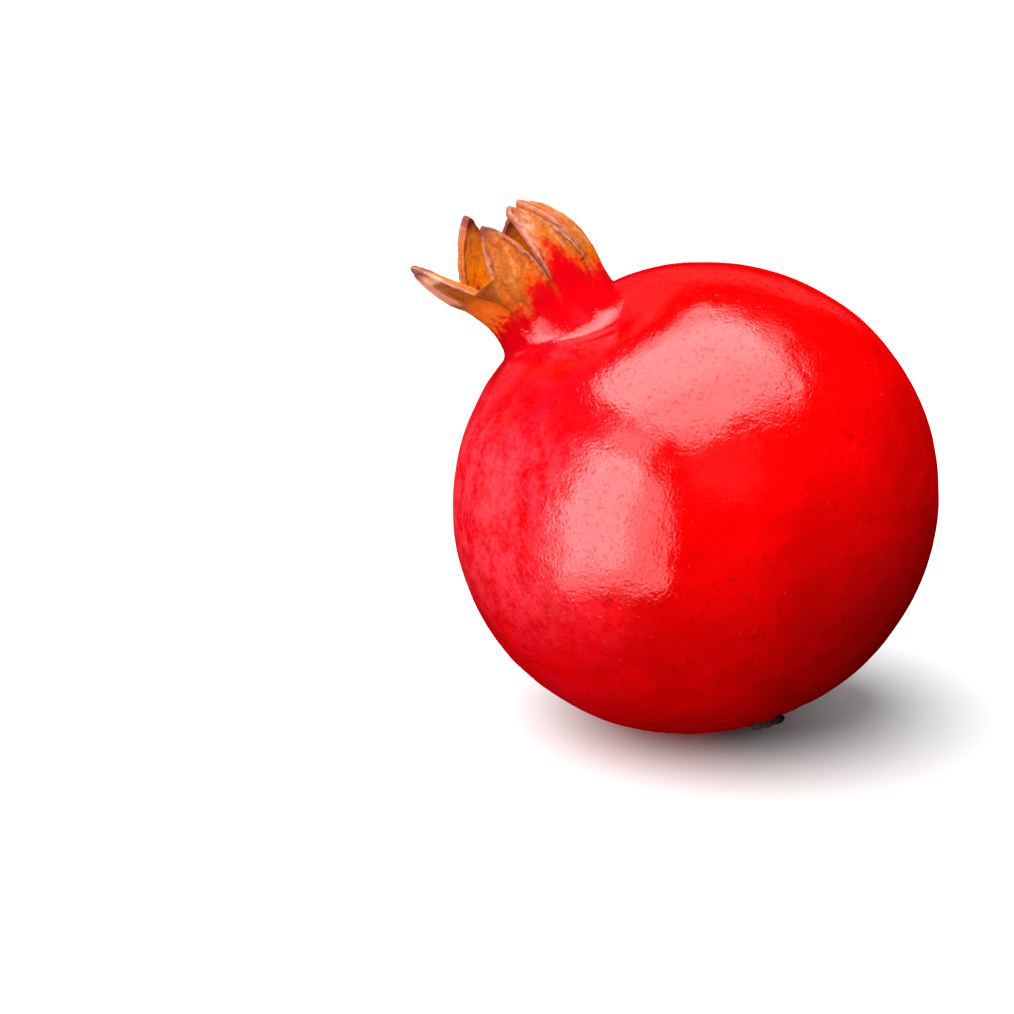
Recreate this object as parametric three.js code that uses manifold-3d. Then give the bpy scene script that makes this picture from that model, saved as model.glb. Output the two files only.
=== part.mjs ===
// A whole pomegranate resting on a small flat spot: the fruit with its open crown, the woody stub of its
// stalk, and the ring of dried stamens inside the crown. Millimetres, +Z up. The crown leans towards -X.
import * as THREE from "three";
import Module from "manifold-3d";

const DEG = Math.PI / 180;

// ---- Driving sizes ------------------------------------------------------------------------------------

// The body is a slightly flattened ball, leaning towards the crown's side.
const EQUATOR_RADIUS = 46.4;
const POLE_RADIUS = 44.1;
const BODY_LEAN = 22.7 * DEG;
const BODY_CENTRE = new THREE.Vector3(2.3, 0.1, 43.9);
const BODY_AXIS = new THREE.Vector3(-Math.sin(BODY_LEAN), 0, Math.cos(BODY_LEAN));
const RIB_COUNT = 6;
const RIB_HEIGHT = 0.3;
const RIB_START = 34 * DEG;
const CROWN_END_DIP = 0.7;
const CROWN_END_DIP_SPREAD = 24 * DEG;
const STEM_DIMPLE = 0.9;
const STEM_DIMPLE_SPREAD = 9 * DEG;

// The crown is a tube that stands off the body and splits into pointed sepals.
const CROWN_FOOT = new THREE.Vector3(-25.8, 3.2, 34.3).add(BODY_CENTRE);
const CROWN_AXIS = new THREE.Vector3(-0.4965, 0.0627, 0.8657).normalize();
const NECK_RADIUS = 11.8;
const NECK_FOOT_SWELL = { height: 0.5, top: -2, reach: 3 };
const NECK_FRONT_SWELL = { height: 1.5, top: -3.5, reach: 5.5, at: 30 * DEG };
const NECK_RIM_SWELL = { height: 0.25, from: 4, to: 9 };
const NECK_FLARE = 2.1;
const NECK_FLARE_AT = 298 * DEG;
const SEPAL_FOOT_LEVEL = 8.5;
const SEPAL_FOOT_HEIGHT = 0.5;
const SEPAL_THICKNESS = 2.3;
const SEPAL_TIP_THINNING = 1.35;
const SEPAL_EDGE_THINNING = 0.45;
const JOINED_EDGE_THINNING = 0.72;
const JOINED_FULLY_FROM = 4.5;
const FLATTENED_THICKENS = 0.25;
const SEPAL_OUTLINE = { fullness: 1.4, taper: 0.65, rounding: 6 };
const SEPAL_SHAPED_BY = 0.3;
const KEEL_HEIGHT = 0.6;
const KEEL_SPREAD = 0.3;
const KEEL_SHARPNESS = 1.3;
const CUP_FLOOR_LEVEL = -1.5;
const CUP_WALL_STEEPNESS = 0.6;

// Where the skin rounds from the body into the neck: between two angles from the crown's foot on the body,
// and up the neck from the corner's level. The join is wider in front, and its corner dips on the left.
const FILLET_AT_SIDES = { from: 21 * DEG, to: 15.5 * DEG, corner: -1.7, rise: 2.8 };
const FILLET_IN_FRONT = { from: 37.5 * DEG, to: 25.5 * DEG, corner: -11, rise: 9.3 };
const CORNER_TILT = 0.6;
// How the shoulder is rounded off above the fillet: to either side, round the crown, and how often.
const SHOULDER_ROUNDING = { reach: 5, spread: 2.5, rounds: 4 };

// Sepals in order round the crown. from and to are the notches on each side; the sepal starts off at angle
// "start" from the tube's line, has bent to "out" at the share "knee" of its length, and to "tip" at its tip.
// One is flattened: its back loses that share of the tube's roundness, so its edges are thicker. Two have
// stayed joined above their notch, and "joined" is how high their edges still hold together.
const SEPALS = [
  { from: 8.5, to: 50, length: 15.7, start: 0, out: -8, knee: 0.35, tip: -26, lean: -3.3 },
  { from: 50, to: 106, length: 17.3, start: -4, out: -20, knee: 0.35, tip: -62, lean: -1.0 },
  { from: 106, to: 158, length: 12.8, start: 0, out: -8, knee: 0.35, tip: -45, lean: 0 },
  { from: 158, to: 208, length: 11.5, start: 0, out: -8, knee: 0.35, tip: -30, lean: -2.0 },
  { from: 208, to: 268, length: 17.8, start: 0, out: -16, knee: 0.3, tip: -44, lean: 1.2 },
  {
    from: 268, to: 325, length: 15.9, start: 22, out: 31, knee: 0.5, tip: 12, lean: 0,
    flattened: 0.7, joined: { from: 0.5, to: 5.3 },
  },
  {
    from: 325, to: 368.5, length: 15.0, start: 0, out: 0, knee: 0.35, tip: -10, lean: -1.2,
    joined: { from: 5.3, to: 0.5 },
  },
];

// The stalk's stub sits in a shallow socket at the bottom of the fruit, in front and to the right.
const STEM_DIRECTION = new THREE.Vector3(0.309, -0.3, -0.9).normalize();
const SOCKET_RADIUS = 3.7;
const SOCKET_DEPTH = 1;
const SOCKET_LIP = 0.3 * DEG;
const STUB_RADIUS = 3.3;
const STUB_WAIST_RADIUS = 2.97;
const STUB_END_RADIUS = 2.8;
const STUB_LENGTH = 2.8;
const STUB_WAIST_AT = 0.5;
const STUB_SHOULDER_AT = 0.85;
const GAP = 0.3;

// The stamens stand in a ring inside the tube, above the cup's floor.
const STAMEN_RING_BOTTOM = 3.4;
const STAMEN_RING_TOP = 8.2;
const STAMEN_RING_RADIUS = 8.4;
const STAMEN_RING_FLARE = 0.7;
const STAMEN_RING_WIDTH = 1.3;

// How finely the skin is divided.
const COLUMNS_PER_SEPAL = 10;
const CROWDING_FROM = 0.3;
const BODY_RINGS = 22;
const FILLET_RINGS = 6;
const NECK_RINGS = 3;
const SEPAL_RINGS = 6;
const CUP_RINGS = 4;
const LATHE_SIDES = 28;

// ---- Frames -------------------------------------------------------------------------------------------

const smooth = THREE.MathUtils.smoothstep;
const scaled = (vector, factor) => vector.clone().multiplyScalar(factor);
const squareFromAxis = (vector, axis) => vector.clone().addScaledVector(axis, -vector.dot(axis)).normalize();

// Round the crown, azimuth 0 faces the front (-Y) and 90 degrees the right (+X).
const CROWN_FRONT = squareFromAxis(new THREE.Vector3(0, -1, 0.25), CROWN_AXIS);
const CROWN_RIGHT = CROWN_AXIS.clone().cross(CROWN_FRONT);

// The skin's rings run from the stem to the crown's foot, round an axis that turns on the way.
const CROWN_DIRECTION = CROWN_FOOT.clone().sub(BODY_CENTRE).normalize();
const RING_FRONT = squareFromAxis(CROWN_FRONT, CROWN_DIRECTION);
const RING_RIGHT = CROWN_DIRECTION.clone().cross(RING_FRONT);
const TURN_AXIS = CROWN_DIRECTION.clone().cross(scaled(STEM_DIRECTION, -1)).normalize();
const TURN_ANGLE = CROWN_DIRECTION.angleTo(scaled(STEM_DIRECTION, -1));

const around = (front, right, azimuth) =>
  scaled(front, Math.cos(azimuth)).addScaledVector(right, Math.sin(azimuth));

// ---- The body -----------------------------------------------------------------------------------------

// The direction from the body's centre at an angle from the crown's foot (0) to the stem (PI).
function directionAt(angle, azimuth) {
  const direction = scaled(CROWN_DIRECTION, Math.cos(angle));
  direction.addScaledVector(around(RING_FRONT, RING_RIGHT, azimuth), Math.sin(angle));
  return direction.applyAxisAngle(TURN_AXIS, TURN_ANGLE * smooth(angle / Math.PI, 0, 1));
}

function bodyRadius(direction, angle, azimuth) {
  const upright = direction.dot(BODY_AXIS);
  const across = Math.sqrt(1 - upright * upright);
  const ball = 1 / Math.hypot(across / EQUATOR_RADIUS, upright / POLE_RADIUS);
  const rib = RIB_HEIGHT * Math.cos(RIB_COUNT * azimuth + RIB_START) * Math.sin(angle) ** 2;
  const crownDip = CROWN_END_DIP * Math.exp(-((angle / CROWN_END_DIP_SPREAD) ** 2));
  const stemDip = STEM_DIMPLE * Math.exp(-(((Math.PI - angle) / STEM_DIMPLE_SPREAD) ** 2));
  return ball + rib - crownDip - stemDip;
}

function bodyPoint(angle, azimuth, sunk = 0) {
  const direction = directionAt(angle, azimuth);
  const radius = bodyRadius(direction, angle, azimuth) - sunk;
  return direction.multiplyScalar(radius).add(BODY_CENTRE);
}

// ---- The crown ----------------------------------------------------------------------------------------

// 1 where the neck swells in front, falling to 0 at its sides.
const inFront = (azimuth) => Math.max(Math.cos(azimuth - NECK_FRONT_SWELL.at), 0) ** 3;

// A swelling of the neck that is full up to its top and dies away above it.
const swelling = ({ height, top, reach }, level) => height * Math.exp(-Math.max(level - top, 0) / reach);

// The neck swells in front and opens towards the sepal that spreads out.
function neckRadius(level, azimuth) {
  const foot = swelling(NECK_FOOT_SWELL, level) + inFront(azimuth) * swelling(NECK_FRONT_SWELL, level);
  const rim = NECK_RIM_SWELL.height * smooth(level, NECK_RIM_SWELL.from, NECK_RIM_SWELL.to);
  const towardsSpread = Math.max(Math.cos(azimuth - NECK_FLARE_AT), 0) ** 2;
  const flare = NECK_FLARE * towardsSpread * Math.max(level / SEPAL_FOOT_LEVEL, 0) ** 2;
  return NECK_RADIUS + foot + rim + flare;
}

const crownPoint = (level, radius, azimuth) =>
  around(CROWN_FRONT, CROWN_RIGHT, azimuth)
    .multiplyScalar(radius)
    .addScaledVector(CROWN_AXIS, level)
    .add(CROWN_FOOT);

const neckPoint = (level, azimuth) => crownPoint(level, neckRadius(level, azimuth), azimuth);

// The end of an arc whose heading turns evenly from one angle to the other over its full length.
function arc(travelled, heading, finalHeading, fullLength) {
  const rate = (finalHeading - heading) / fullLength;
  const turned = heading + rate * travelled;
  if (Math.abs(rate) < 1e-9) {
    return { out: Math.sin(heading) * travelled, up: Math.cos(heading) * travelled, turned };
  }
  const out = (Math.cos(heading) - Math.cos(turned)) / rate;
  const up = (Math.sin(turned) - Math.sin(heading)) / rate;
  return { out, up, turned };
}

// A sepal's midline is two arcs, one to its knee and one from there to its tip.
function midline(sepal, travelled) {
  const knee = sepal.knee * sepal.length;
  const below = arc(Math.min(travelled, knee), sepal.start * DEG, sepal.out * DEG, knee);
  const rest = sepal.length - knee;
  const above = arc(Math.max(travelled - knee, 0), sepal.out * DEG, sepal.tip * DEG, rest);
  const turned = (travelled < knee ? below : above).turned - sepal.start * DEG;
  return { out: below.out + above.out, up: below.up + above.up, turned };
}

// The sepal's outline: its height over a place across it, from -1 at one notch to 1 at the other.
const outline = (across) => (1 - Math.abs(across) ** SEPAL_OUTLINE.fullness) ** SEPAL_OUTLINE.taper;

// How high a sepal's edge still holds to its neighbour's, at a place across it.
function joinedHeight({ joined }, across) {
  const { from, to } = joined ?? { from: SEPAL_FOOT_HEIGHT, to: SEPAL_FOOT_HEIGHT };
  return THREE.MathUtils.lerp(from, to, smooth(across, -0.5, 0.5));
}

// A point on a sepal: across it, at a share of its height there, at a depth of 0 (outer face) to 1 (inner).
function sepalPoint(sepal, across, share, depth) {
  const middle = ((sepal.from + sepal.to) / 2) * DEG;
  const azimuth = middle + (across * (sepal.to - sepal.from) * DEG) / 2;
  const free = outline(across) * sepal.length;
  const joined = joinedHeight(sepal, across);
  const { rounding } = SEPAL_OUTLINE;
  const height = (free ** rounding + joined ** rounding) ** (1 / rounding) * share;
  const rise = height / sepal.length;
  const { out, up, turned } = midline(sepal, height);

  const outward = around(CROWN_FRONT, CROWN_RIGHT, middle);
  const sideways = around(CROWN_FRONT, CROWN_RIGHT, middle + Math.PI / 2);
  const faceNormal = scaled(outward, Math.cos(turned)).addScaledVector(CROWN_AXIS, -Math.sin(turned));

  const footRadius = neckRadius(SEPAL_FOOT_LEVEL, azimuth);
  const middleRadius = neckRadius(SEPAL_FOOT_LEVEL, middle);
  const roundness = footRadius * Math.cos(azimuth - middle) - middleRadius;
  const shaped = smooth(rise, 0, SEPAL_SHAPED_BY);
  const keel = KEEL_HEIGHT * Math.exp(-((Math.abs(across) / KEEL_SPREAD) ** KEEL_SHARPNESS)) * shaped;
  const joinedness = smooth(joined, SEPAL_FOOT_HEIGHT, JOINED_FULLY_FROM);
  const thinning = THREE.MathUtils.lerp(SEPAL_EDGE_THINNING, JOINED_EDGE_THINNING, joinedness);
  const middleThickness = SEPAL_THICKNESS - SEPAL_TIP_THINNING * smooth(rise, 0, 1);
  const flattening = -roundness * (sepal.flattened ?? 0) * shaped;
  const back = roundness + flattening + keel;
  const edgeThinning = 1 - thinning * across ** 2 * shaped;
  const thickness = middleThickness * edgeThinning + flattening * FLATTENED_THICKENS;

  return crownPoint(SEPAL_FOOT_LEVEL, middleRadius, middle)
    .addScaledVector(outward, out)
    .addScaledVector(CROWN_AXIS, up)
    .addScaledVector(sideways, footRadius * Math.sin(azimuth - middle) + sepal.lean * rise ** 2)
    .addScaledVector(faceNormal, back - depth * thickness);
}

// ---- The fruit: rings of points from the stem's socket up over the skin, the sepals and into the cup -----

// Where the skin runs from the body into the neck, round the crown.
function filletAt(azimuth) {
  const blend = (key) => THREE.MathUtils.lerp(FILLET_AT_SIDES[key], FILLET_IN_FRONT[key], inFront(azimuth));
  const low = blend("corner") + CORNER_TILT * Math.sin(azimuth);
  return { from: blend("from"), to: blend("to"), low, high: low + blend("rise") };
}

// One column per point of a ring; they crowd together towards the notches between sepals.
const columns = SEPALS.flatMap((sepal) =>
  Array.from({ length: COLUMNS_PER_SEPAL }, (_, i) => {
    const even = (2 * i) / COLUMNS_PER_SEPAL - 1;
    const across = (even - Math.cos((Math.PI * i) / COLUMNS_PER_SEPAL)) / 2;
    const azimuth = ((sepal.from + sepal.to) / 2 + (across * (sepal.to - sepal.from)) / 2) * DEG;
    return { sepal, across, azimuth, fillet: filletAt(azimuth) };
  }),
);
const evenAzimuth = (i) => SEPALS[0].from * DEG + (i * 2 * Math.PI) / columns.length;
const ringOf = (pointAt) => columns.map(pointAt);
const steps = (count) => Array.from({ length: count }, (_, i) => (i + 1) / count);

const SOCKET_ANGLE = Math.PI - SOCKET_RADIUS / POLE_RADIUS;
const DIMPLE_RIM_ANGLE = Math.PI - STEM_DIMPLE_SPREAD;
const skinRings = [];
skinRings.push(ringOf((_, i) => bodyPoint(SOCKET_ANGLE, evenAzimuth(i), SOCKET_DEPTH)));
skinRings.push(ringOf((_, i) => bodyPoint(SOCKET_ANGLE - SOCKET_LIP, evenAzimuth(i))));
for (const share of [0, ...steps(BODY_RINGS)]) {
  const crowding = smooth(share, CROWDING_FROM, 1);
  skinRings.push(
    ringOf(({ azimuth, fillet }, i) => {
      const angle = THREE.MathUtils.lerp(DIMPLE_RIM_ANGLE, fillet.from, share);
      return bodyPoint(angle, THREE.MathUtils.lerp(evenAzimuth(i), azimuth, crowding));
    }),
  );
}
for (const share of steps(FILLET_RINGS)) {
  skinRings.push(
    ringOf(({ azimuth, fillet }) => {
      const onBody = bodyPoint(THREE.MathUtils.lerp(fillet.from, fillet.to, share), azimuth);
      const onNeck = neckPoint(THREE.MathUtils.lerp(fillet.low, fillet.high, share), azimuth);
      return onBody.lerp(onNeck, smooth(share, 0, 1));
    }),
  );
}
for (const share of steps(NECK_RINGS)) {
  skinRings.push(
    ringOf(({ azimuth, fillet }) =>
      neckPoint(THREE.MathUtils.lerp(fillet.high, SEPAL_FOOT_LEVEL, share), azimuth),
    ),
  );
}
const sepalRing = (share, depth) => ringOf(({ sepal, across }) => sepalPoint(sepal, across, share, depth));
for (const share of steps(SEPAL_RINGS)) {
  skinRings.push(sepalRing(share, 0));
}
for (const share of [...steps(SEPAL_RINGS).reverse(), 0]) {
  skinRings.push(sepalRing(share, 1));
}

// The cup's wall rounds in from the foot of the sepals to its floor.
const cupRim = skinRings.at(-1).map((point) => {
  const offset = point.clone().sub(CROWN_FOOT);
  const level = offset.dot(CROWN_AXIS);
  return { level, outward: offset.addScaledVector(CROWN_AXIS, -level) };
});
for (const share of steps(CUP_RINGS).slice(0, -1)) {
  const sunk = Math.sin((share * Math.PI) / 2);
  const narrowing = Math.cos((share * Math.PI) / 2) ** CUP_WALL_STEEPNESS;
  skinRings.push(
    cupRim.map(({ level, outward }) =>
      CROWN_FOOT.clone()
        .addScaledVector(CROWN_AXIS, THREE.MathUtils.lerp(level, CUP_FLOOR_LEVEL, sunk))
        .addScaledVector(outward, narrowing),
    ),
  );
}

// The shoulder is rounded off where it starts to fall towards the front of the neck.
const SHOULDER_RING = 2 + BODY_RINGS;
const shoulderPull = columns.map(({ azimuth }, i) => {
  const along = [0];
  for (let ring = 1; ring < skinRings.length; ring++) {
    along.push(along[ring - 1] + skinRings[ring][i].distanceTo(skinRings[ring - 1][i]));
  }
  const full = Math.min(inFront(azimuth) * SHOULDER_ROUNDING.spread, 1) / 2;
  return along.map((at) => full * Math.exp(-(((at - along[SHOULDER_RING]) / SHOULDER_ROUNDING.reach) ** 2)));
});
for (let round = 0; round < SHOULDER_ROUNDING.rounds; round++) {
  const before = skinRings.map((ring) => ring.map((point) => point.clone()));
  for (let ring = 1; ring + 1 < skinRings.length; ring++) {
    skinRings[ring].forEach((point, i) => {
      const halfway = before[ring - 1][i].clone().lerp(before[ring + 1][i], 0.5);
      point.lerp(halfway, shoulderPull[i][ring]);
    });
  }
}

// Joins the rings into one closed surface, with a single point at each end.
function closedSkin(rings, firstPoint, lastPoint) {
  const count = rings[0].length;
  const points = [firstPoint, ...rings.flat(), lastPoint];
  const last = points.length - 1;
  const at = (ring, i) => 1 + ring * count + (i % count);
  const triangles = [];
  for (let i = 0; i < count; i++) {
    triangles.push(0, at(0, i + 1), at(0, i));
    for (let ring = 0; ring + 1 < rings.length; ring++) {
      triangles.push(at(ring, i), at(ring, i + 1), at(ring + 1, i + 1));
      triangles.push(at(ring, i), at(ring + 1, i + 1), at(ring + 1, i));
    }
    triangles.push(last, at(rings.length - 1, i), at(rings.length - 1, i + 1));
  }
  return { points, triangles };
}

const wasm = await Module();
wasm.setup();

// The lowest part of the body is cut off level, which leaves the small flat spot the fruit rests on.
function cutLevel({ points, triangles }) {
  const solid = new wasm.Manifold(
    new wasm.Mesh({
      numProp: 3,
      vertProperties: new Float32Array(points.flatMap((point) => point.toArray())),
      triVerts: new Uint32Array(triangles),
    }),
  );
  const mesh = solid.trimByPlane([0, 0, 1], 0).getMesh();
  const geometry = new THREE.BufferGeometry();
  geometry.setAttribute("position", new THREE.BufferAttribute(mesh.vertProperties, 3));
  geometry.setIndex(new THREE.BufferAttribute(mesh.triVerts, 1));
  geometry.computeVertexNormals();
  return geometry;
}

const socketFloor = bodyPoint(Math.PI, 0, SOCKET_DEPTH);
const cupFloor = CROWN_FOOT.clone().addScaledVector(CROWN_AXIS, CUP_FLOOR_LEVEL);
const fruit = new THREE.Mesh(
  cutLevel(closedSkin(skinRings, socketFloor, cupFloor)),
  new THREE.MeshStandardMaterial({ color: 0xc80a12, roughness: 0.3, metalness: 0 }),
);
fruit.name = "fruit";

// ---- The stalk's stub: a short woody peg, waisted, with a rough cut end --------------------------------

const latheAlong = (profile, axis, foot, material, name) => {
  const geometry = new THREE.LatheGeometry(
    profile.map(([radius, height]) => new THREE.Vector2(radius, height)),
    LATHE_SIDES,
  );
  const mesh = new THREE.Mesh(geometry, material);
  mesh.quaternion.setFromUnitVectors(new THREE.Vector3(0, 1, 0), axis);
  mesh.position.copy(foot);
  mesh.name = name;
  return mesh;
};

const stemStub = latheAlong(
  [
    [0, 0],
    [STUB_RADIUS, 0],
    [STUB_WAIST_RADIUS, STUB_LENGTH * STUB_WAIST_AT],
    [STUB_RADIUS, STUB_LENGTH * STUB_SHOULDER_AT],
    [STUB_END_RADIUS, STUB_LENGTH],
    [0, STUB_LENGTH],
  ],
  STEM_DIRECTION,
  socketFloor.clone().addScaledVector(STEM_DIRECTION, GAP),
  new THREE.MeshStandardMaterial({ color: 0x33201a, roughness: 0.85, metalness: 0 }),
  "stem_stub",
);

// ---- The stamens: a ring of dry threads round the inside of the tube -----------------------------------

const stamens = latheAlong(
  [
    [STAMEN_RING_RADIUS - STAMEN_RING_WIDTH, STAMEN_RING_BOTTOM],
    [STAMEN_RING_RADIUS, STAMEN_RING_BOTTOM],
    [STAMEN_RING_RADIUS + STAMEN_RING_FLARE, STAMEN_RING_TOP],
    [STAMEN_RING_RADIUS + STAMEN_RING_FLARE - STAMEN_RING_WIDTH, STAMEN_RING_TOP],
    [STAMEN_RING_RADIUS - STAMEN_RING_WIDTH, STAMEN_RING_BOTTOM],
  ],
  CROWN_AXIS,
  CROWN_FOOT,
  new THREE.MeshStandardMaterial({ color: 0x9a6a3a, roughness: 0.9, metalness: 0 }),
  "stamens",
);

const pomegranate = new THREE.Group();
pomegranate.add(fruit, stemStub, stamens);

export default pomegranate;
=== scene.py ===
import math

import bpy
import numpy as np
from mathutils import Matrix, Vector, noise


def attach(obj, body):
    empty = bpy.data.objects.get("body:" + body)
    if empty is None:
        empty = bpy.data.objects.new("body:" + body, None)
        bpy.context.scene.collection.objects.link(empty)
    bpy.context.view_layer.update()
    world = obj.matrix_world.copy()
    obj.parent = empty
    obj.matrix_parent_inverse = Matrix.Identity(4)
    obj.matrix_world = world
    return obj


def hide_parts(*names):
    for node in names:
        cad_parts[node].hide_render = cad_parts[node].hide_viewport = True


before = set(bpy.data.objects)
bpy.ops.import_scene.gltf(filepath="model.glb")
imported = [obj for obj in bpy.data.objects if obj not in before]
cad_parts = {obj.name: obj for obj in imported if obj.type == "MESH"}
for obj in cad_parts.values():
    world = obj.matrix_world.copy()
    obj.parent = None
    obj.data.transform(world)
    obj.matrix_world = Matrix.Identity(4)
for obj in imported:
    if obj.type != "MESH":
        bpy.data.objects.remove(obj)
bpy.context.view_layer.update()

# ---- The body ----------------------------------------------------------------------------------------------
# The rind of a ripe pomegranate is a leathery skin that grew in one piece over the seed chambers, which push it
# out into shallow ribs. The ball is slightly flattened, leans to the left, and has settled flat underneath.
DEGREE = math.pi / 180
EQUATOR_RADIUS = 46.4
POLE_RADIUS = 44.1
BODY_LEAN = 22.7 * DEGREE
BODY_CENTRE = np.array([2.3, 0.1, 43.9])
BODY_AXIS = np.array([-math.sin(BODY_LEAN), 0, math.cos(BODY_LEAN)])
RIB_COUNT = 6
RIB_HEIGHT = 0.3
RIB_START = 34 * DEGREE
CROWN_END_DIP = 0.7
CROWN_END_DIP_SPREAD = 24 * DEGREE
STEM_DIMPLE = 0.9
STEM_DIMPLE_SPREAD = 9 * DEGREE
PUCKERS = 13
PUCKER_DEPTH = 0.16


def unit(vector):
    return np.asarray(vector, float) / np.linalg.norm(vector)


def square_from(vector, axis):
    return unit(np.asarray(vector, float) - np.dot(vector, axis) * axis)


def smooth(value, low=0.0, high=1.0):
    share = np.clip((value - low) / (high - low), 0, 1)
    return share * share * (3 - 2 * share)


# The crown stands off the upper left of the body, and the stalk's stub sits nearly opposite, low in front.
CROWN_FOOT = BODY_CENTRE + np.array([-25.8, 3.2, 34.3])
CROWN_AXIS = unit([-0.4965, 0.0627, 0.8657])
CROWN_FRONT = square_from([0, -1, 0.25], CROWN_AXIS)
CROWN_RIGHT = np.cross(CROWN_AXIS, CROWN_FRONT)
STEM_DIRECTION = unit([0.309, -0.3, -0.9])

# The skin's rings run from the stem to the crown's foot, round an axis that turns on the way.
CROWN_DIRECTION = unit(CROWN_FOOT - BODY_CENTRE)
RING_FRONT = square_from(CROWN_FRONT, CROWN_DIRECTION)
RING_RIGHT = np.cross(CROWN_DIRECTION, RING_FRONT)
TURN_AXIS = unit(np.cross(CROWN_DIRECTION, -STEM_DIRECTION))
TURN_ANGLE = math.acos(np.dot(CROWN_DIRECTION, -STEM_DIRECTION))


def turned(vectors, axis, angle):
    angle = np.asarray(angle)[..., None]
    along = (vectors @ axis)[..., None] * axis
    return vectors * np.cos(angle) + np.cross(axis, vectors) * np.sin(angle) + along * (1 - np.cos(angle))


def body_point(angle, azimuth, sunk=0.0):
    """A point on the body at an angle from the crown's foot (0) to the stem (pi), and an azimuth round it."""
    angle = np.broadcast_to(angle, azimuth.shape)
    outward = np.cos(azimuth)[:, None] * RING_FRONT + np.sin(azimuth)[:, None] * RING_RIGHT
    direction = np.cos(angle)[:, None] * CROWN_DIRECTION + np.sin(angle)[:, None] * outward
    direction = turned(direction, TURN_AXIS, TURN_ANGLE * smooth(angle / math.pi))
    upright = direction @ BODY_AXIS
    ball = 1 / np.hypot(np.sqrt(1 - upright**2) / EQUATOR_RADIUS, upright / POLE_RADIUS)
    rib = RIB_HEIGHT * np.cos(RIB_COUNT * azimuth + RIB_START) * np.sin(angle) ** 2
    crown_dip = CROWN_END_DIP * np.exp(-((angle / CROWN_END_DIP_SPREAD) ** 2))
    from_stem = math.pi - angle
    stem_dip = STEM_DIMPLE * np.exp(-((from_stem / STEM_DIMPLE_SPREAD) ** 2))
    puckered = smooth(from_stem, 4 * DEGREE, 7 * DEGREE) * smooth(from_stem, 22 * DEGREE, 9 * DEGREE)
    wander = 0.5 * np.sin(3 * azimuth + 1)
    pucker = PUCKER_DEPTH * puckered * np.cos(PUCKERS * azimuth + wander)
    radius = ball + rib - crown_dip - stem_dip + pucker - sunk
    return BODY_CENTRE + radius[:, None] * direction


# ---- The crown ---------------------------------------------------------------------------------------------
# The dried calyx: the rind carries on into a thick tube that splits into seven pointed sepals. Each sepal is a
# stiff leathery wedge with a ridge down its back, and flat edges where it was pressed to its neighbours in bud.
NECK_RADIUS = 11.8
NECK_FOOT_SWELL = {"height": 0.5, "top": -2, "reach": 3}
NECK_FRONT_SWELL = {"height": 1.5, "top": -3.5, "reach": 5.5, "at": 30 * DEGREE}
NECK_RIM_SWELL = {"height": 0.25, "low": 4, "high": 9}
NECK_FLARE = 2.1
NECK_FLARE_AT = 298 * DEGREE
NOTCH_LEVEL = 8.5
NOTCH_CREASE = 0.4
NOTCH_CREASE_SPREAD = 5 * DEGREE
SEPAL_FOOT_HEIGHT = 0.5
SEPAL_THICKNESS = 2.3
SEPAL_TIP_THINNING = 1.35
SEPAL_EDGE_THINNING = 0.45
JOINED_EDGE_THINNING = 0.72
FLATTENED_THICKENS = 0.25
KEEL_HEIGHT = 0.6
KEEL_SPREAD = 0.3
MARGIN_ROLL = 0.22
MARGIN_ROLL_WIDTH = 0.9
CUP_FLOOR_LEVEL = -1.5

# One line for each sepal, in order round the crown from the front. start, out and tip are how far it has bent
# outwards at its foot, its knee and its tip.
SEPALS = [
    {"notches": (8.5, 50), "length": 15.7, "start": 0, "out": -8, "knee": 0.35, "tip": -26, "lean": -3.3,
     "browned": 0.35},
    {"notches": (50, 106), "length": 17.3, "start": -4, "out": -20, "knee": 0.35, "tip": -62, "lean": -1.0,
     "browned": 0.3},
    {"notches": (106, 158), "length": 12.8, "start": 0, "out": -8, "knee": 0.35, "tip": -45, "lean": 0},
    {"notches": (158, 208), "length": 11.5, "start": 0, "out": -8, "knee": 0.35, "tip": -30, "lean": -2.0},
    {"notches": (208, 268), "length": 17.8, "start": 0, "out": -16, "knee": 0.3, "tip": -44, "lean": 1.2,
     "edge_thinning": 0.78},
    {"notches": (268, 325), "length": 15.9, "start": 22, "out": 31, "knee": 0.5, "tip": 12, "lean": 0,
     "flattened": 0.7, "joined": (0.5, 5.3)},
    {"notches": (325, 368.5), "length": 15.0, "start": 0, "out": 0, "knee": 0.35, "tip": -10, "lean": -1.2,
     "joined": (5.3, 0.5)},
]


def round_crown(azimuth):
    azimuth = np.asarray(azimuth)[..., None]
    return np.cos(azimuth) * CROWN_FRONT + np.sin(azimuth) * CROWN_RIGHT


def in_front(azimuth):
    return np.maximum(np.cos(azimuth - NECK_FRONT_SWELL["at"]), 0) ** 3


def neck_radius(level, azimuth):
    foot = NECK_FOOT_SWELL["height"] * np.exp(-np.maximum(level - NECK_FOOT_SWELL["top"], 0) / NECK_FOOT_SWELL["reach"])
    front = np.exp(-np.maximum(level - NECK_FRONT_SWELL["top"], 0) / NECK_FRONT_SWELL["reach"])
    foot = foot + NECK_FRONT_SWELL["height"] * in_front(azimuth) * front
    rim = NECK_RIM_SWELL["height"] * smooth(level, NECK_RIM_SWELL["low"], NECK_RIM_SWELL["high"])
    towards_spread = np.maximum(np.cos(azimuth - NECK_FLARE_AT), 0) ** 2
    return NECK_RADIUS + foot + rim + NECK_FLARE * towards_spread * np.maximum(level / NOTCH_LEVEL, 0) ** 2


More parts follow.
